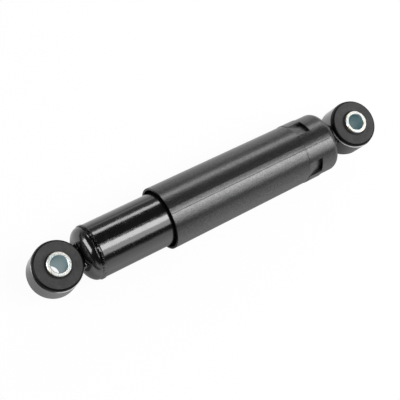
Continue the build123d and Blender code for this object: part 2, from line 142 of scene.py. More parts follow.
# Seam bead
BEAD_STEPS = 720  # points round the tube
BEAD_PROFILE = 20  # steps over the bead, from the cap to the tube
BEAD_LAP = 0.35 * MM  # how far it laps on the tube beyond its CAD node
BEAD_ROOT = 1.5 * MM  # how deep its root lies in the steel
BEAD_CLEAR = 0.02 * MM  # what keeps its end off the tube's surface
BEAD_SINK = 0.7 * MM  # how far it starts below the tube's surface, at the cap's edge
BEAD_ARCH = 0.55 * MM  # height of its middle
BEAD_RIPPLE = 0.12 * MM  # height of its ripples
BEAD_PROUD = 0.6 * MM  # the most that a lump stands out over its CAD node
BEAD_WANDER = 0.35 * MM  # how far its starting edge wanders
BEAD_LUMP_SIZE = 1.5 * MM
BEAD_LOW = 0.52 * MM  # height up to which it has no shine: painted shade
BEAD_LOW_SOFT = 0.16 * MM
BEAD_SHADE_END = -13.5 * MM  # place across the tube beyond which it has no painted shade and shines all over

# Lumps of the beads beside the eyes: large ones, and small ones on them
LARGE_LUMP_SIZE = 2.6 * MM
SMALL_LUMP_SIZE = 0.9 * MM
SMALL_LUMP_SHARE = 0.4

# Parting line
RIDGE_ROWS = 120
RIDGE_START = COVER_LOW.x + 0.3 * MM
RIDGE_END = COVER_HIGH.x - 6.0 * MM
RIDGE_FOOT = 0.05 * MM  # how deep its edges lie in the cover
RIDGE_DEPTH = 0.3 * MM  # how deep its root lies below its edges


class Eye:
    """One end of the damper: its place, its axis's lean towards -Y, the side on which its
    ring is rubbed, and the painted light added to the colour of its sleeve's bore."""

    def __init__(self, name, middle, lean, rubbed, bore_painted_light):
        self.name = name
        self.middle = middle
        self.lean = lean
        self.rubbed = rubbed
        self.bore_painted_light = bore_painted_light


# The last value of each eye is painted light on its sleeve's bore: the upper bore is a lighter copy
EYES = (
    Eye("lower", 0.0, 0.0, (0.3, -0.95), 0.0),
    Eye("upper", UPPER_EYE_X, UPPER_LEAN, (-0.72, -0.69), 0.1),
)


# Shader maths


class Value:
    """A node's output, used in arithmetic as a number is."""

    def __init__(self, graph, socket):
        self.graph = graph
        self.socket = socket

    def maths(self, operation, *values):
        return self.graph.add("ShaderNodeMath", {"operation": operation}, dict(enumerate(values)))

    def __add__(self, other):
        return self.maths("ADD", self, other)

    def __radd__(self, other):
        return self.maths("ADD", other, self)

    def __sub__(self, other):
        return self.maths("SUBTRACT", self, other)

    def __rsub__(self, other):
        return self.maths("SUBTRACT", other, self)

    def __mul__(self, other):
        return self.maths("MULTIPLY", self, other)

    def __rmul__(self, other):
        return self.maths("MULTIPLY", other, self)

    def __pow__(self, other):
        return self.maths("POWER", self, other)

    def __neg__(self):
        return self.maths("MULTIPLY", self, -1.0)

    def __abs__(self):
        return self.maths("ABSOLUTE", self)

    def at_least(self, other):
        """This value or the other, whichever is more."""
        return self.maths("MAXIMUM", self, other)

    def over(self, edge, softness):
        """0 below an edge and 1 above it, with a soft step between them."""
        return self.graph.add(
            "ShaderNodeMapRange",
            {"interpolation_type": "SMOOTHSTEP"},
            {"Value": self, "From Min": edge - softness, "From Max": edge + softness},
        )


class Graph:
    """The node tree of a material or of the world."""

    def __init__(self, tree):
        self.tree = tree
        self.tree.nodes.clear()

    def add(self, kind, settings=None, values=None, output=0):
        """Makes one node and returns one of its outputs, named or counted from 0."""
        node = self.tree.nodes.new(kind)
        for name, setting in (settings or {}).items():
            if name == "stops":
                self.set_stops(node.color_ramp, setting)
            else:
                setattr(node, name, setting)
        for name, value in (values or {}).items():
            self.put(node.inputs[name], value)
        return Value(self, node.outputs[output]) if node.outputs else None

    def put(self, socket, value):
        """Links a value to a socket, or sets the socket to a number or colour."""
        if isinstance(value, Value):
            self.tree.links.new(value.socket, socket)
        else:
            socket.default_value = value

    def set_stops(self, ramp, stops):
        while len(ramp.elements) < len(stops):
            ramp.elements.new(1)
        for element, (place, colour) in zip(ramp.elements, stops):
            element.position = place
            element.color = colour

    def place(self):
        """Where a point lies on the object, in metres."""
        return self.add("ShaderNodeTexCoord", output="Object")

    def stretched(self, *stretch):
        """The place with each axis scaled, for marks that run along one axis."""
        values = {0: self.place(), 1: stretch}
        return self.add("ShaderNodeVectorMath", {"operation": "MULTIPLY"}, values)

    def facing(self):
        """Which way a surface faces on the object."""
        return self.add("ShaderNodeTexCoord", output="Normal")

    def off_axis(self):
        """Distance from the damper's axis."""
        point = self.place()
        aside, above = self.part_of(point, "Y"), self.part_of(point, "Z")
        return (aside * aside + above * above) ** 0.5

    def eye_radius(self, eye):
        """Distance from an eye's axis."""
        point = self.place()
        beside = self.part_of(point, "X") - eye.middle
        aside = self.part_of(point, "Y") + self.part_of(point, "Z") * eye.lean
        return (beside * beside + aside * aside) ** 0.5

    def eye_height(self, eye):
        """Height along an eye's axis."""
        point = self.place()
        return self.part_of(point, "Z") - self.part_of(point, "Y") * eye.lean

    def part_of(self, vector, axis):
        return self.add("ShaderNodeSeparateXYZ", None, {"Vector": vector}, output=axis)

    def ray_is(self, kind):
        """1 for a ray of this kind and 0 for any other."""
        return self.add("ShaderNodeLightPath", output=f"Is {kind} Ray")

    def noise(self, scale, detail=3.0, roughness=0.5, place=None):
        """Smooth random values from 0 to 1, with so many lumps in a metre."""
        return self.add(
            "ShaderNodeTexNoise",
            None,
            {
                "Vector": place or self.place(),
                "Scale": scale,
                "Detail": detail,
                "Roughness": roughness,
            },
        )

    def mix(self, share, first, second):
        """Colour between two colours."""
        return self.add(
            "ShaderNodeMix",
            {"data_type": "RGBA"},
            {"Factor": share, 6: first, 7: second},
            output=2,
        )

    def bump(self, height, strength, depth):
        """Surface normal from a height, in metres times depth."""
        values = {"Height": height, "Strength": strength, "Distance": depth}
        return self.add("ShaderNodeBump", None, values)


def start_material(name):
    material = bpy.data.materials.new(name)
    material.use_nodes = True
    return material, Graph(material.node_tree)


def close_material(graph, values):
    """Ends a material in one shader with the given values."""
    surface = graph.add("ShaderNodeBsdfPrincipled", None, values)
    graph.add("ShaderNodeOutputMaterial", None, {"Surface": surface})


def grey(level):
    return (level, level, level, 1.0)


def gloss_paint(settings, name="gloss_paint", lumps=1.0, worn=None, painted_shade=None):
    """Thick black enamel: orange peel, a few dust nibs and faint rub marks.

    worn makes a value for the places where the paint is rubbed off to bare steel,
    and the last argument one for the places where it has no shine, which is painted shade."""
    material, graph = start_material(name)
    colour = (*settings.colour, 1.0)
    peel = graph.noise(260.0, 2.0)
    sag = graph.noise(45.0, 2.0)
    dust = graph.noise(1500.0, 1.0).over(0.74, 0.03)
    rub = graph.noise(90.0, 5.0, 0.6).over(0.62, 0.08)
    film = graph.noise(30.0, 4.0)
    height = sag * (0.9 * lumps) + peel * (0.22 * lumps) + dust * 0.05
    base = graph.mix(film * 0.6 + rub * 0.4, colour, grey(settings.bloom))
    roughness = settings.roughness + rub * 0.05 + film * 0.04 + dust * 0.1
    values = {
        "Base Color": base,
        "Roughness": roughness,
        "IOR": settings.index,
        "Normal": graph.bump(height, 0.5, 0.4 * MM),
    }
    if worn:
        bare = worn(graph)
        values["Base Color"] = graph.mix(bare, base, grey(BARE_GREY))
        values["Metallic"] = bare
        values["Roughness"] = roughness + bare * 0.25
    # Painted shade: the mask turns the near-black paint into metal of that colour, which has no
    # shine
    if painted_shade:
        values["Metallic"] = painted_shade(graph)
    close_material(graph, values)
    return material


def primer(settings):
    """Thin dull black with a dusty film, for the cover's plate and its parting line."""
    material, graph = start_material("black_primer")
    dusty = graph.noise(70.0, 5.0, 0.6)
    tooth = graph.noise(1400.0, 3.0)
    close_material(
        graph,
        {
            "Base Color": graph.mix(dusty, (*settings.colour, 1.0), grey(settings.bloom * 2.0)),
            "Roughness": 0.6 + dusty * 0.2,
            "IOR": PRIMER_INDEX,
            "Normal": graph.bump(tooth, 0.4, 0.1 * MM),
        },
    )
    return material


def shade_between_lumps(graph):
    """Low places of the seam bead, given no shine as painted shade between its lumps, except on its
    far -Y side.
    """
    low = 1.0 - graph.off_axis().over(TUBE_RADIUS + BEAD_LOW, BEAD_LOW_SOFT)
    shaded_side = graph.part_of(graph.place(), "Y").over(BEAD_SHADE_END, 1.5 * MM)
    return low * shaded_side * 0.93


def worn_edge(eye):
    """Rub mark on the upper edge of an eye's ring, on one side of the eye."""

    def mask(graph):
        point = graph.place()
        along = (graph.part_of(point, "X") - eye.middle) * eye.rubbed[0]
        towards = along + graph.part_of(point, "Y") * eye.rubbed[1]
        wander = (graph.noise(160.0, 2.0) - 0.5) * (4.0 * MM)
        scratch = graph.noise(1200.0, 3.0).over(0.28, 0.08)
        arc = (towards + wander).over(WORN_FROM, 2.0 * MM)
        rim = graph.eye_height(eye).over(RING_EDGE - WORN_DEPTH, 0.12 * MM)
        return rim * arc * scratch

    return mask


def moulded_plastic(settings):
    """Satin black polypropylene: fine grain, flow marks, pale specks and dull pores.

    The cut end and the inside, which the light hardly reaches, have no shine."""
    material, graph = start_material("cover_plastic")
    grain = graph.noise(2600.0, 2.0)
    flow = graph.noise(60.0, 4.0, 0.6, graph.stretched(0.25, 1.0, 1.0))
    speck = graph.noise(1500.0, 0.0).over(0.8, 0.02)
    mottle = graph.noise(620.0, 3.0, 0.7)
    scuff = graph.noise(240.0, 6.0, 0.7).over(0.66, 0.05)
    base = graph.mix(speck, (*settings.colour, 1.0), grey(settings.speck))
    base = graph.mix(scuff * 0.35, base, grey(settings.scuff))
    base = graph.mix(mottle.over(0.55, 0.12) * 0.4, base, grey(settings.scuff))
    point, way = graph.place(), graph.facing()
    cut = 1.0 - graph.part_of(point, "X").over(COVER_LOW.x + 0.15 * MM, 0.1 * MM)
    outward = graph.part_of(point, "Y") * graph.part_of(way, "Y")
    outward = outward + graph.part_of(point, "Z") * graph.part_of(way, "Z")
    unlit = cut.at_least(1.0 - outward.over(-4.0 * MM, 2.0 * MM))
    base = graph.mix(unlit, base, grey(UNLIT_GREY))
    pores = graph.noise(950.0, 3.0, 0.8).over(0.5, 0.14) * 0.42
    roughness = settings.roughness + flow * 0.1 + grain * 0.06 + scuff * 0.06
    height = grain * 0.5 + flow * 0.6 + mottle * 0.9 + speck * 0.2
    close_material(
        graph,
        {
            "Base Color": base,
            "Metallic": unlit.at_least(pores),
            "Roughness": roughness,
            "IOR": settings.index,
            "Normal": graph.bump(height, 0.45, 0.12 * MM),
        },
    )
    return material


def bush_rubber(settings, name, eye):
    """Moulded rubber: matt, with a fine grain; its flat faces are greyed by bloom and a painted
    sheen, and dark beside the sleeve as painted shade.
    """
    material, graph = start_material(name)
    bloom = graph.noise(180.0, 4.0, 0.6)
    grain = graph.noise(1800.0, 3.0)
    wipe = graph.noise(420.0, 4.0, 0.65).over(0.6, 0.08)
    # Painted sheen: only the faces across the eye's axis, lit by the lamps above, get the grey; the
    # rounded rims stay black
    sheen_faces = abs(graph.part_of(graph.facing(), "Z")).over(0.93, 0.05)
    # Painted shade: the rubber stays dark in a ring round the sleeve
    clear = graph.eye_radius(eye).over(SLEEVE_RADIUS + SHADE_RING, 0.8 * MM)
    face = sheen_faces * (clear * 0.85 + 0.15)
    # The grey share is partly bloom (the noise) and partly painted sheen (the steady 0.45)
    share = (bloom * 0.5 + wipe * 0.15 + 0.45) * face
    base = graph.mix(share, (*settings.colour, 1.0), (*settings.bloom, 1.0))
    roughness = settings.roughness + (bloom * 0.1 - wipe * 0.06 + 0.25) * face
    close_material(
        graph,
        {
            "Base Color": base,
            "Roughness": roughness,
            "IOR": RUBBER_INDEX,
            "Normal": graph.bump(grain * 0.7 + bloom * 0.5, 0.4, 0.1 * MM),
        },
    )
    return material


def plated_steel(settings, name, eye):
    """Zinc-plated turned steel: drawn grain, a faint tint, and a duller blue-grey bore."""
    material, graph = start_material(name)
    face = graph.eye_radius(eye).over(BORE_EDGE, 0.12 * MM)
    tint = graph.noise(140.0, 2.0)
    cloud = graph.noise(700.0, 4.0, 0.6)
    turned = graph.noise(900.0, 2.0, 0.5, graph.stretched(0.15, 0.15, 4.0))
    base = graph.add(
        "ShaderNodeValToRGB",
        {
            "stops": [
                (0.34, (*settings.yellow, 1.0)),
                (0.5, (*settings.colour, 1.0)),
                (0.66, (*settings.green, 1.0)),
            ]
        },
        {"Fac": tint},
    )
    base = graph.mix(cloud * 0.15, base, grey(0.55))
    # Painted light: the bore colour with the eye's lighter share added
    bore = [part + eye.bore_painted_light for part in settings.bore]
    base = graph.mix(face, (*bore, 1.0), base)
    close_material(
        graph,
        {
            "Base Color": base,
            "Metallic": 1.0,
            "Roughness": settings.roughness + cloud * 0.12 + turned * 0.06,
            "Normal": graph.bump(turned * 0.6 + cloud * 0.4, 0.15, 0.06 * MM),
        },
    )
    return material


def bare_metal(name, colour, roughness, metallic=1.0, pores=0.0, stretch=(1.0, 1.0, 1.0)):
    """Unpainted metal with a machined or sintered surface."""
    material, graph = start_material(name)
    lines = graph.noise(1600.0, 3.0, 0.6, graph.stretched(*stretch))
    stain = graph.noise(110.0, 4.0)
    pits = graph.noise(3200.0, 2.0).over(0.62, 0.06) * pores
    dark = tuple(part * 0.55 for part in colour)
    base = graph.mix(stain * 0.5 + pits * 0.5, (*colour, 1.0), (*dark, 1.0))
    close_material(
        graph,
        {
            "Base Color": base,
            "Metallic": metallic,
            "Roughness": roughness + stain * 0.1 + lines * 0.08 + pits * 0.3,
            "Normal": graph.bump(lines * 0.5 - pits, 0.3, 0.08 * MM),
        },
    )
    return material


def rod_chrome(paint):
    """Hard chrome on the rod, and black paint on its end from just below the cover's plate."""
    material, graph = start_material("rod_chrome")
    painted = graph.part_of(graph.place(), "X").over(ROD_PAINT_START, 0.4 * MM)
    haze = graph.noise(300.0, 4.0)
    lines = graph.noise(1500.0, 2.0, 0.5, graph.stretched(0.1, 1.0, 1.0))
    bare = graph.mix(haze, (0.62, 0.63, 0.65, 1.0), (0.7, 0.7, 0.71, 1.0))
    close_material(
        graph,
        {
            "Base Color": graph.mix(painted, bare, (*paint.colour, 1.0)),
            "Metallic": 1.0 - painted,
            "Roughness": 0.07 + haze * 0.05 + painted * 0.15,
            "Normal": graph.bump(lines + haze * 0.5, 0.1, 0.05 * MM),
        },
    )
    return material


def dress(names, material):
    """Gives CAD nodes one material."""
    for name in names:
        node = nodes[name]
        node.data.materials.clear()
        node.data.materials.append(material)


def get_material(name):
    """A material that an earlier step made."""
    material = bpy.data.materials.get(name)
    if material is None:
        raise RuntimeError(f"make the material {name} first")
    return material


# Settings


class PaintSettings(bpy.types.PropertyGroup):
    colour: bpy.props.FloatVectorProperty(
        name="Paint colour",
        description="Colour of the black enamel",
        subtype="COLOR",
        default=(0.0035, 0.0035, 0.004),
        min=0.0,
        max=1.0,
    )
    bloom: bpy.props.FloatProperty(
        name="Dust film",
        description="Grey level of the thin film of dust on the enamel",
        default=0.006,
        min=0.0,
        max=1.0,
    )
    roughness: bpy.props.FloatProperty(
        name="Paint roughness",
        description="Roughness of the enamel before dust and rub marks",
        subtype="FACTOR",
        default=0.13,
        min=0.0,
        max=1.0,
    )
    index: bpy.props.FloatProperty(
        name="Paint index",
        description="Refractive index that sets how strongly the enamel reflects",
        default=1.85,
        min=1.0,
        max=3.0,
    )


class CoverSettings(bpy.types.PropertyGroup):
    colour: bpy.props.FloatVectorProperty(
        name="Plastic colour",
        description="Colour of the dust cover",
        subtype="COLOR",
        default=(0.012, 0.012, 0.0125),
        min=0.0,
        max=1.0,
    )
    speck: bpy.props.FloatProperty(
        name="Speck level",
        description="Grey level of the pale specks",
        default=0.1,
        min=0.0,
        max=1.0,
    )
    scuff: bpy.props.FloatProperty(
        name="Scuff level",
        description="Grey level of the rubbed places",
        default=0.025,
        min=0.0,
        max=1.0,
    )
    roughness: bpy.props.FloatProperty(
        name="Plastic roughness",
        description="Roughness of the moulded plastic",
        subtype="FACTOR",
        default=0.22,
        min=0.0,
        max=1.0,
    )
    index: bpy.props.FloatProperty(
        name="Plastic index",
        description="Refractive index that sets how strongly the plastic reflects",
        default=1.88,
        min=1.0,
        max=3.0,
    )
    parting_turn: bpy.props.FloatProperty(
        name="Parting line angle",
        description="Place of the mould's parting line round the cover, from +Z towards -Y",
        subtype="ANGLE",
        default=math.radians(9.5),
    )
    parting_height: bpy.props.FloatProperty(
        name="Parting line height",
        description="How far the parting line stands out",
        subtype="DISTANCE",
        unit="LENGTH",
        default=0.12 * MM,
        min=0.0,
        max=1.0 * MM,
    )
    parting_width: bpy.props.FloatProperty(
        name="Parting line width",
        description="Width of the parting line at its foot",
        subtype="DISTANCE",
        unit="LENGTH",
        default=0.42 * MM,
        min=0.1 * MM,
        max=2.0 * MM,
    )


class EyeSettings(bpy.types.PropertyGroup):
    colour: bpy.props.FloatVectorProperty(
        name="Rubber colour",
        description="Colour of clean rubber",
        subtype="COLOR",
        default=(0.004, 0.004, 0.004),
        min=0.0,
        max=1.0,
    )
    # Bloom colour also stands for the painted sheen on the bushes' flat faces
    bloom: bpy.props.FloatVectorProperty(
        name="Bloom colour",
        description="Colour of the grey bloom on the rubber",
        subtype="COLOR",
        default=(0.072, 0.072, 0.0715),
        min=0.0,
        max=1.0,
    )
    roughness: bpy.props.FloatProperty(
        name="Rubber roughness",
        description="Roughness of clean rubber",
        subtype="FACTOR",
        default=0.38,
        min=0.0,
        max=1.0,
    )


class SleeveSettings(bpy.types.PropertyGroup):
    colour: bpy.props.FloatVectorProperty(
        name="Zinc colour",
        description="Colour of the zinc plate",
        subtype="COLOR",
        default=(0.86, 0.86, 0.85),
        min=0.0,
        max=1.0,
    )
    yellow: bpy.props.FloatVectorProperty(
        name="Yellow tint",
        description="Colour of the plate where it looks yellow",
        subtype="COLOR",
        default=(0.9, 0.88, 0.74),
        min=0.0,
        max=1.0,
    )
    green: bpy.props.FloatVectorProperty(
        name="Green tint",
        description="Colour of the plate where it looks green",
        subtype="COLOR",
        default=(0.76, 0.84, 0.8),
        min=0.0,
        max=1.0,
    )
    bore: bpy.props.FloatVectorProperty(
        name="Bore colour",
        description="Colour of the plate inside the sleeve's bore",
        subtype="COLOR",
        default=(0.48, 0.65, 0.68),
        min=0.0,
        max=1.0,
    )
    roughness: bpy.props.FloatProperty(
        name="Plate roughness",
        description="Roughness of the zinc plate",
        subtype="FACTOR",
        default=0.27,
        min=0.0,
        max=1.0,
    )


class WeldSettings(bpy.types.PropertyGroup):
    lump: bpy.props.FloatProperty(
        name="Bead lumps",
        description="How far the weld beads' lumps stand in and out",
        subtype="DISTANCE",
        unit="LENGTH",
        default=0.4 * MM,
        min=0.0,
        max=1.0 * MM,
    )
    ripples: bpy.props.IntProperty(
        name="Seam ripples",
        description="Number of ripples round the seam bead",
        default=58,
        min=0,
        max=200,
    )


class StageSettings(bpy.types.PropertyGroup):
    lamp_distance: bpy.props.FloatProperty(
        name="Lamp distance",
        description="Distance of the soft boxes from the damper's axis",
        subtype="DISTANCE",
        unit="LENGTH",
        default=0.7,
        min=0.3,
        max=3.0,
    )
    ceiling: bpy.props.FloatProperty(
        name="Ceiling level",
        description="Brightness of the studio's ceiling in reflections",
        default=0.012,
        min=0.0,
        max=1.0,
    )
    fill: bpy.props.FloatProperty(
        name="Fill level",
        description="Brightness of the light that comes from all round",
        default=0.2,
        min=0.0,
        max=2.0,
    )


SETTINGS = {
    "damper_paint": PaintSettings,
    "damper_cover": CoverSettings,
    "damper_eyes": EyeSettings,
    "damper_sleeves": SleeveSettings,
    "damper_welds": WeldSettings,
    "damper_stage": StageSettings,
}


# Meshes


def add_piece(name, mesh, material, body):
    """Makes an object of a mesh that rides on a body."""
    piece = bpy.data.objects.new(name, mesh)
    bpy.context.scene.collection.objects.link(piece)
    mesh.materials.clear()
    mesh.materials.append(material)
    for face in mesh.polygons:
        face.use_smooth = True
    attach(piece, body)
    return piece


def mesh_of_rings(name, rings, closed):
    """Mesh through rings of points. The last ring joins the first, or both ends get a cap."""
    count = len(rings[0])
    points = [point for ring in rings for point in ring]
    faces = []
    for ring in range(len(rings) if closed else len(rings) - 1):
        after = (ring + 1) % len(rings)
        for step in range(count):
            ahead = (step + 1) % count
            faces.append(
                (
                    ring * count + step,
                    ring * count + ahead,
                    after * count + ahead,
                    after * count + step,
                )
            )
    if not closed:
        faces.append(tuple(range(count - 1, -1, -1)))
        faces.append(tuple((len(rings) - 1) * count + step for step in range(count)))
    mesh = bpy.data.meshes.new(name)
    mesh.from_pydata(points, [], faces)
    mesh.update()
    return mesh


def side_at(turn):
    """Direction away from the damper's axis, at an angle from +Z towards -Y."""
    return Vector((0, -math.sin(turn), math.cos(turn)))


def sideways_at(turn):
    """Direction round the damper's axis at that angle, towards larger angles."""
    return Vector((0, -math.cos(turn), -math.sin(turn)))


def lumpy_copy(name, node, voxel, lump, seed):
    """Fine copy of a weld node with its outside pushed in and out."""
    source = bpy.data.objects.new(name + "_source", nodes[node].data.copy())
    bpy.context.scene.collection.objects.link(source)
    remesh = source.modifiers.new("Remesh", "REMESH")
    remesh.mode = "VOXEL"
    remesh.voxel_size = voxel
    graph = bpy.context.evaluated_depsgraph_get()
    mesh = bpy.data.meshes.new_from_object(source.evaluated_get(graph))
    bpy.data.objects.remove(source)
    offset = Vector((seed, 2.0 * seed, 3.0 * seed))
    solid = bmesh.new()
    solid.from_mesh(mesh)
    for _ in range(3):
        bmesh.ops.smooth_vert(
            solid, verts=solid.verts, factor=0.5, use_axis_x=True, use_axis_y=True, use_axis_z=True
        )
    solid.normal_update()
    moves = []
    for vertex in solid.verts:
        large = noise.noise(vertex.co / LARGE_LUMP_SIZE + offset)
        small = noise.noise(vertex.co / SMALL_LUMP_SIZE + offset)
        moves.append(vertex.normal * lump * (large + SMALL_LUMP_SHARE * small))
    for vertex, move in zip(solid.verts, moves):
        vertex.co += move
    solid.to_mesh(mesh)
    solid.free()
    mesh.name = name
    return mesh


def seam_bead(settings):
    """Rippled bead round the seam between the bottom cap and the tube."""
    start, end = SEAM_LOW.x, SEAM_HIGH.x + BEAD_LAP
    foot = TUBE_RADIUS - BEAD_ROOT
    crest = SEAM_HIGH.z
    rings = []
    for step in range(BEAD_STEPS):
        turn = 2 * math.pi * step / BEAD_STEPS
        side = side_at(turn)
        around = side * 3.0
        wander = BEAD_WANDER * noise.noise(around + Vector((4.0, 0, 0)))
        swell = 1.0 + 0.5 * noise.noise(around * 2.2)
        phase = settings.ripples * turn + 2.0 * noise.noise(around * 1.5)
        ring = [Vector((end, 0, 0)) + side * foot, Vector((start, 0, 0)) + side * foot]
        for point in range(BEAD_PROFILE + 1):
            share = point / BEAD_PROFILE
            arch = math.sin(math.pi * share) ** 0.7
            sunk = BEAD_SINK * (1.0 - share) ** 2
            height = TUBE_RADIUS + BEAD_CLEAR - sunk + arch * BEAD_ARCH * swell
            ripple = 0.5 + 0.5 * math.cos(phase - 5.0 * (share - 0.5) ** 2 * 4.0)
            spot = side * (crest / BEAD_LUMP_SIZE) + Vector((share * 3.0, 0, 0))
            lump = noise.noise(spot) + 0.6 * noise.noise(spot * 2.3)
            height += arch * (BEAD_RIPPLE * ripple + settings.lump * lump)
            height = min(height, crest + BEAD_PROUD)
            edge = wander * (1.0 - share) * math.sin(math.pi * min(share * 2 + 0.3, 1.0))
            place = Vector((start + (end - start) * share + edge, 0, 0))
            ring.append(place + side * height)
        rings.append(ring)
    return mesh_of_rings("seam_bead", rings, closed=True)


def parting_ridge(settings):
    """Fine ridge that the mould's halves leave along the cover."""
    side, across = side_at(settings.parting_turn), sideways_at(settings.parting_turn)
    outside = 50.0 * MM
    rows = []
    for step in range(RIDGE_ROWS + 1):
        x = RIDGE_START + (RIDGE_END - RIDGE_START) * step / RIDGE_ROWS
        axis = Vector((x, 0, 0))
        hit, place, _, _ = nodes["dust_cover"].ray_cast(axis + side * outside, -side)
        if not hit:
            raise RuntimeError("the cover has no surface under its parting line")
        flare = 1.0 + 0.35 * noise.noise(Vector((x / (9 * MM), 0, 0)))
        half = settings.parting_width / 2 * flare
        centre = axis + side * (place.dot(side) - RIDGE_FOOT)
        top = centre + side * (RIDGE_FOOT + settings.parting_height * flare)
        rows.append(
            [
                centre - across * half,
                top - across * half * 0.25,
                top + across * half * 0.25,
                centre + across * half,
                centre - side * RIDGE_DEPTH,
            ]
        )
    return mesh_of_rings("parting_line", rows, closed=False)


# Steps


class DAMPER_OT_paint(bpy.types.Operator):
    """Paint the steel shell, the eyes' rings and the tube"""

    bl_idname = "damper.paint"
    bl_label = "Painted steel"

    def execute(self, context):
        settings = context.scene.damper_paint
        dress(PAINTED, gloss_paint(settings))
        for eye in EYES:
            paint = gloss_paint(settings, eye.name + "_ring_paint", worn=worn_edge(eye))
            dress((eye.name + "_eye_ring",), paint)
        return {"FINISHED"}


# Beads beside the eyes: name, node, body, voxel size, seed of their lumps
EYE_BEADS = (
    ("lower_eye_beads", "lower_eye_weld", "reservoir", 0.3 * MM, 3.7),
    ("upper_eye_bead", "upper_eye_weld", "rod", 0.35 * MM, 8.1),
)
BEAD_SAG = 1.6  # how much more the paint sags on the beads than on the tube


class DAMPER_OT_welds(bpy.types.Operator):
    """Build the weld beads under the paint"""

    bl_idname = "damper.welds"
    bl_label = "Weld beads"

    def execute(self, context):
        settings = context.scene.damper_welds
        enamel = context.scene.damper_paint
        paint = gloss_paint(enamel, "bead_paint", BEAD_SAG)
        # The seam bead's paint has painted shade between its lumps
        painted_shade = gloss_paint(enamel, "seam_paint", BEAD_SAG, painted_shade=shade_between_lumps)
        bead = add_piece("seam_bead", seam_bead(settings), painted_shade, "reservoir")
        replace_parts(bead, "base_cap_weld")
        for name, node, body, voxel, seed in EYE_BEADS:
            mesh = lumpy_copy(name, node, voxel, settings.lump, seed)
            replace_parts(add_piece(name, mesh, paint, body), node)
        return {"FINISHED"}


class DAMPER_OT_eyes(bpy.types.Operator):
    """Finish the rubber bushes and their steel sleeves"""

    bl_idname = "damper.eyes"
    bl_label = "Eyes"

    def execute(self, context):
        for eye in EYES:
            rubber, sleeve = eye.name + "_bush_rubber", eye.name + "_sleeve"
            dress((rubber,), bush_rubber(context.scene.damper_eyes, rubber, eye))
            plate = plated_steel(context.scene.damper_sleeves, sleeve + "_plate", eye)
            dress((sleeve,), plate)
        return {"FINISHED"}


class DAMPER_OT_cover(bpy.types.Operator):
    """Finish the moulded dust cover and add its parting line"""

    bl_idname = "damper.cover"
    bl_label = "Dust cover"

    def execute(self, context):
        settings = context.scene.damper_cover
        dress(("dust_cover",), moulded_plastic(settings))
        line = primer(context.scene.damper_paint)
        add_piece("parting_line", parting_ridge(settings), line, "dust_cover")
        return {"FINISHED"}


class DAMPER_OT_works(bpy.types.Operator):
    """Finish the rod and everything inside the tube"""

    bl_idname = "damper.works"
    bl_label = "Inner works"

    def execute(self, context):
        dress(("piston_rod",), rod_chrome(context.scene.damper_paint))
        dress(DULL, get_material("black_primer"))
        steel = bare_metal("turned_steel", (0.48, 0.48, 0.49), 0.25, stretch=(0.2, 1.0, 1.0))
        dress(BARE_STEEL, steel)
        dress(SINTERED, bare_metal("sintered_iron", (0.24, 0.23, 0.22), 0.5, pores=1.0))
        dress(("guide_bush",), bare_metal("bearing_bronze", (0.55, 0.36, 0.2), 0.35, pores=0.5))
        band = bare_metal("piston_band", (0.2, 0.12, 0.06), 0.5, metallic=0.0, pores=0.3)
        dress(("piston_ring",), band)
        dress(("oil_seal",), get_material("lower_bush_rubber"))
        return {"FINISHED"}


class DAMPER_OT_springs(bpy.types.Operator):
    """Make copies of the valve springs, in place of their CAD nodes, that ride on their bodies"""

    bl_idname = "damper.springs"
    bl_label = "Valve springs"

    def execute(self, context):
        steel = get_material("turned_steel")
        for joint in frame["joints"]:
            for pressed in joint.get("deforming_nodes", ()):
                node = pressed["node"]
                mesh = nodes[node].data.copy()
                body = nodes[node]["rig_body"]
                spring = add_piece("moving_" + node, mesh, steel, body)
                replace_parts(spring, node)
                held = pressed["fixed_end_x_m"]
                length = max(abs(corner.x - held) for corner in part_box(node))
                lift = max(abs(limit) for limit in joint["range_m"])
                keep = 1 - lift / length
                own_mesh(spring)
        return {"FINISHED"}


def soft_box(name, direction, target, size, level, along):
    """Rectangular lamp at a target, facing back along a direction, at a set brightness."""
    lamp = bpy.data.lights.new(name, "AREA")
    lamp.shape = "RECTANGLE"
    lamp.size, lamp.size_y = size
    lamp.energy = level * math.pi * size[0] * size[1]
    light = bpy.data.objects.new(name, lamp)
    bpy.context.scene.collection.objects.link(light)
    back = Vector(direction).normalized()
    long_side = (Vector(along) - back * back.dot(Vector(along))).normalized()
    light.matrix_world = Matrix.Translation(target) @ Matrix(
        (long_side, back.cross(long_side), back)
    ).transposed().to_4x4()


def span(distance, angle):
    """Width that fills an angle, in degrees, at a distance."""
    return 2 * distance * math.tan(math.radians(angle) / 2)


# Soft boxes: name, angle round the damper's axis from +Z towards -Y, width in degrees,
# brightness, and how far they lean sideways for each metre along the damper
SOFT_BOXES = (
    ("main_box", 12.5, 20.0, 6.8, 0.22),
    ("side_box", 33.0, 20.0, 2.6, 0.22),
    ("back_box", -57.0, 12.0, 4.8, 0.0),
)
TWIST_MIDDLE = 0.29  # place along the damper where a leaning box stands at its angle
BOX_LENGTH = 1.1
BOX_MIDDLE = 0.65  # place of the boxes' middle along the damper

# Soft box beyond the lower eye: its direction, its long side, two sizes in degrees, brightness
END_BOX = ((-0.82, 0.35, 0.45), (-0.207, -0.887, 0.413), (50.0, 28.0), 5.5)

# Camera, fitted to the photo: its place in metres, and where its picture's right and down are
CAMERA_PLACE = (-0.206553, -0.096760, 0.740276)
CAMERA_RIGHT = (0.82444, -0.47918, 0.30112)
CAMERA_DOWN = (-0.39983, -0.86973, -0.28932)
CAMERA_LENS = 101.23
CAMERA_SENSOR = 36.0

FLOOR_HALF = 3.0  # half of the floor's side


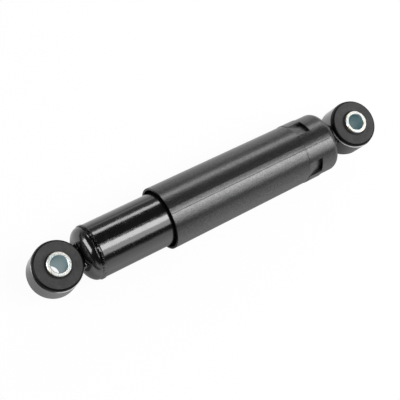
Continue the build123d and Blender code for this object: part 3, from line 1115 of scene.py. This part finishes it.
class DAMPER_OT_stage(bpy.types.Operator):
    """Build the floor, the light and the camera"""

    bl_idname = "damper.stage"
    bl_label = "Stage"

    def make_world(self, settings):
        """White for the camera, even light all round, and for reflections a dim ceiling with
        pale walls that have a dark curtain beyond the lower eye and one behind."""
        world = bpy.data.worlds.new("studio")
        bpy.context.scene.world = world
        world.use_nodes = True
        graph = Graph(world.node_tree)
        looking = graph.add("ShaderNodeTexCoord", output="Generated")
        up = graph.part_of(looking, "Z")
        curtain = (-graph.part_of(looking, "X")).over(0.72, 0.12)
        behind = graph.part_of(looking, "Y").over(0.75, 0.15)
        dark = curtain.at_least(behind * 0.8) * up.over(0.02, 0.05)
        ceiling = up.over(0.32, 0.12).at_least(dark)
        walls = graph.mix(ceiling, grey(0.9), grey(settings.ceiling))
        seen = graph.mix(graph.ray_is("Glossy"), grey(settings.fill), walls)
        direct = graph.ray_is("Camera").at_least(graph.ray_is("Transmission"))
        seen = graph.mix(direct, seen, grey(1.0))
        shade = graph.add("ShaderNodeBackground", None, {"Color": seen, "Strength": 1.0})
        graph.add("ShaderNodeOutputWorld", None, {"Surface": shade})

    def make_floor(self):
        """White paper for the camera. In reflections it shows painted light and shade: bright
        before and beside the damper, dimmer under it as a painted shadow, and dark far behind it
        and beyond its lower end."""
        material, graph = start_material("floor_paper")
        glossy_ray = graph.ray_is("Glossy")
        point = graph.place()
        along, across = graph.part_of(point, "X"), graph.part_of(point, "Y")
        front = (-across).over(0.045, 0.035)
        beside = across.over(0.02, 0.01)
        far = across.over(0.13, 0.07) * (0.5 - along.over(0.18, 0.04) * 0.5)
        # Painted light and shade in reflections: a painted shadow close under the damper, brighter
        # away from it
        level = front * 0.7 + beside * 0.7 - far + (-along).over(0.0, 0.02) * 0.25 + 0.3
        level = level * (1.0 - (-along).over(0.07, 0.025) * 0.92)
        shown = graph.mix(glossy_ray, grey(1.0), graph.mix(level, grey(0.0), grey(1.0)))
        white = graph.add("ShaderNodeEmission", None, {"Color": shown, "Strength": 1.0})
        matt = graph.add("ShaderNodeBsdfDiffuse", None, {"Color": grey(0.8)})
        seen = graph.ray_is("Camera") * 0.95 + glossy_ray
        paper = graph.add("ShaderNodeMixShader", None, {"Fac": seen, 1: matt, 2: white})
        graph.add("ShaderNodeOutputMaterial", None, {"Surface": paper})
        mesh = bpy.data.meshes.new("floor")
        corners = ((-1, -1), (1, -1), (1, 1), (-1, 1))
        points = [(x * FLOOR_HALF, y * FLOOR_HALF, FLOOR_Z) for x, y in corners]
        mesh.from_pydata(points, [], [(0, 1, 2, 3)])
        mesh.materials.append(material)
        floor = bpy.data.objects.new("floor", mesh)
        bpy.context.scene.collection.objects.link(floor)

    def make_lamps(self, settings):
        distance = settings.lamp_distance
        for name, angle, width, level, twist in SOFT_BOXES:
            turn = math.radians(angle)
            direction, sideways = side_at(turn), sideways_at(turn) * twist
            target = Vector((BOX_MIDDLE, 0, 0)) + direction * distance
            target += sideways * (BOX_MIDDLE - TWIST_MIDDLE)
            along = Vector((1, 0, 0)) + sideways
            soft_box(name, direction, target, (BOX_LENGTH, span(distance, width)), level, along)
        place, along, angles, level = END_BOX
        direction = Vector(place).normalized()
        size = [span(distance, angle) for angle in angles]
        soft_box("end_box", direction, direction * distance, size, level, along)

    def make_camera(self):
        right, down = Vector(CAMERA_RIGHT), Vector(CAMERA_DOWN)
        camera = bpy.data.cameras.new("camera")
        camera.lens = CAMERA_LENS
        camera.sensor_width = CAMERA_SENSOR
        camera.clip_start = 0.01
        eye = bpy.data.objects.new("camera", camera)
        bpy.context.scene.collection.objects.link(eye)
        axes = Matrix((right, -down, right.cross(-down))).transposed()
        eye.matrix_world = Matrix.Translation(CAMERA_PLACE) @ axes.to_4x4()
        bpy.context.scene.camera = eye

    def execute(self, context):
        settings = context.scene.damper_stage
        self.make_world(settings)
        self.make_floor()
        self.make_lamps(settings)
        self.make_camera()
        context.scene.view_settings.view_transform = "Standard"
        return {"FINISHED"}


class DAMPER_PT_panel(bpy.types.Panel):
    """Lists the damper's steps and settings"""

    bl_idname = "DAMPER_PT_panel"
    bl_label = "Damper"
    bl_space_type = "VIEW_3D"
    bl_region_type = "UI"
    bl_category = "Damper"

    def draw(self, context):
        for operator in OPERATORS:
            self.layout.operator(operator.bl_idname)
        for name, group in SETTINGS.items():
            box = self.layout.box()
            for field in group.__annotations__:
                box.prop(getattr(context.scene, name), field)


OPERATORS = (
    DAMPER_OT_paint,
    DAMPER_OT_welds,
    DAMPER_OT_eyes,
    DAMPER_OT_cover,
    DAMPER_OT_works,
    DAMPER_OT_springs,
    DAMPER_OT_stage,
)


def register():
    for group in SETTINGS.values():
        bpy.utils.register_class(group)
    for operator in OPERATORS:
        bpy.utils.register_class(operator)
    bpy.utils.register_class(DAMPER_PT_panel)
    for name, group in SETTINGS.items():
        setattr(bpy.types.Scene, name, bpy.props.PointerProperty(type=group))


def unregister():
    for name in SETTINGS:
        delattr(bpy.types.Scene, name)
    bpy.utils.unregister_class(DAMPER_PT_panel)
    for operator in reversed(OPERATORS):
        bpy.utils.unregister_class(operator)
    for group in reversed(SETTINGS.values()):
        bpy.utils.unregister_class(group)


def main():
    register()
    bpy.ops.damper.paint()
    bpy.ops.damper.welds()
    bpy.ops.damper.eyes()
    bpy.ops.damper.cover()
    bpy.ops.damper.works()
    bpy.ops.damper.springs()
    bpy.ops.damper.stage()


if __name__ == "__main__":
    main()
